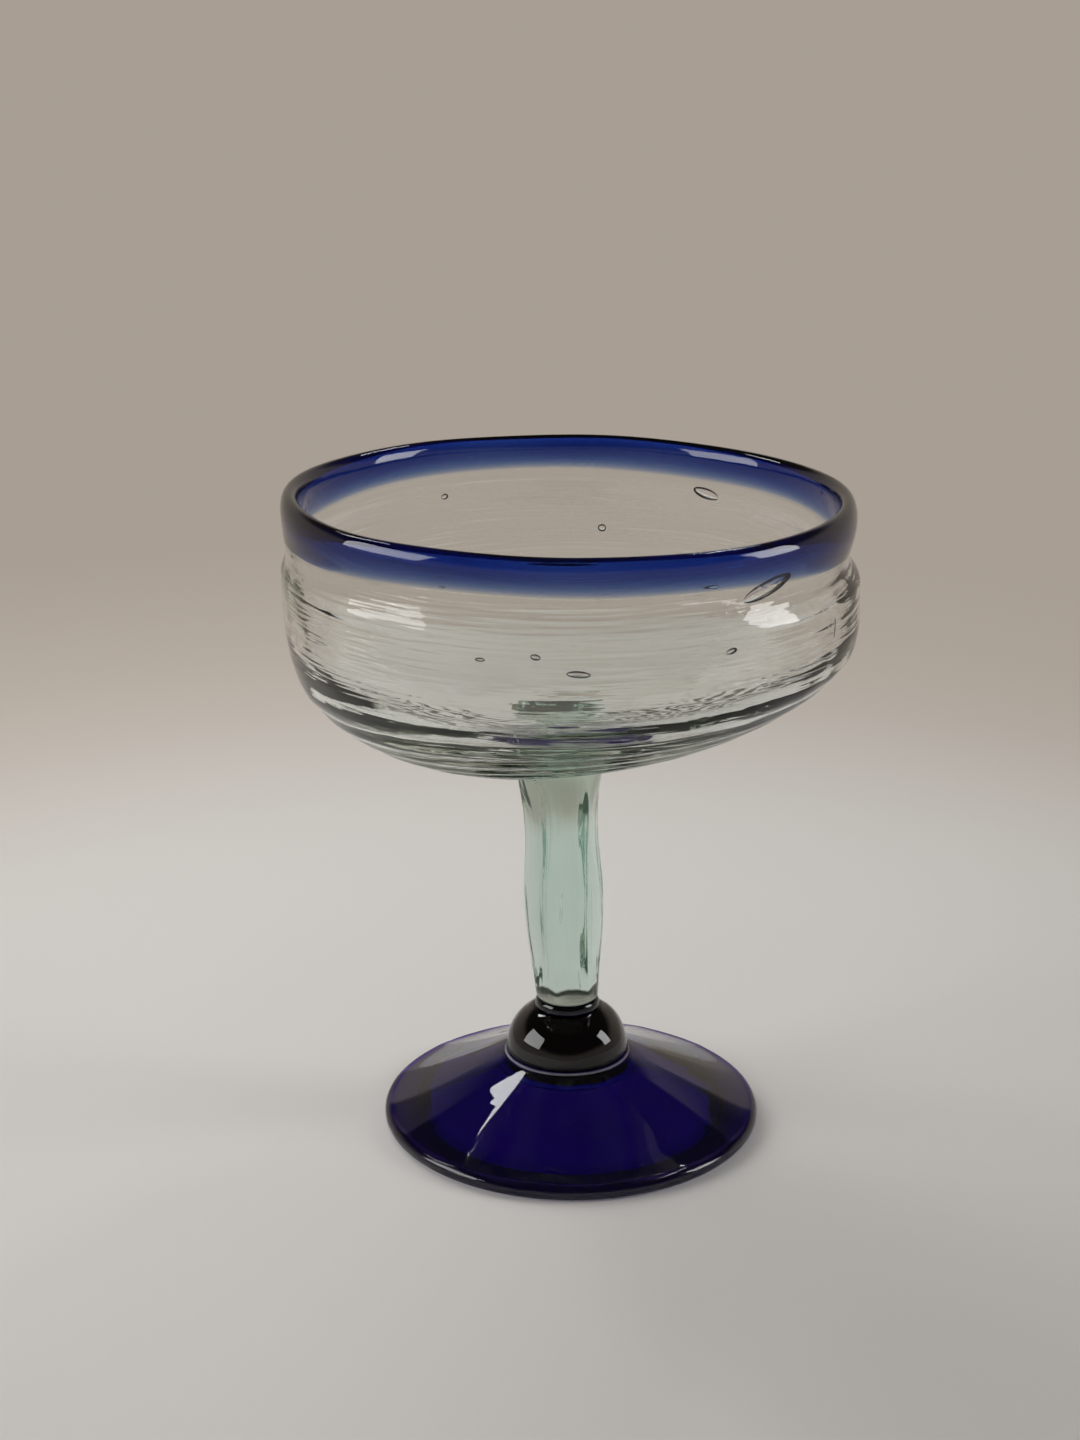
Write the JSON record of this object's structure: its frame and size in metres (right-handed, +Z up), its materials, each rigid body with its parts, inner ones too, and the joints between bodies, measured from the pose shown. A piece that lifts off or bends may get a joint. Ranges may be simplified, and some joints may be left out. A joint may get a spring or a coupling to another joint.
{
  "type": "coupe glass",
  "caption": "Stemmed coupe drinking glass: a wide shallow clear bowl with a cobalt blue lip band, on a faceted pale green stem, cobalt collar, domed knop and hollow conical foot.",
  "frame": {"origin": "centre of the foot, on the surface that the glass stands on", "axes": "+Z up through the stem to the mouth of the bowl, +X to the right and -Y to the front as pictured"},
  "size_m": [0.1216, 0.1214, 0.1447],
  "materials": {
    "bowl_glass": "fire-polished clear recycled glass, faintly grey-green",
    "lip_glass": "fire-polished cobalt blue glass",
    "stem_glass": "fire-polished pale sea-green glass with pressed facets",
    "foot_glass": "fire-polished deep cobalt blue glass"
  },
  "bodies": {
    "root": {"bowl": "bowl_glass", "rim_band": "lip_glass", "stem": "stem_glass", "stem_collar": "foot_glass", "knop": "foot_glass", "foot": "foot_glass"}
  },
  "joints": []
}
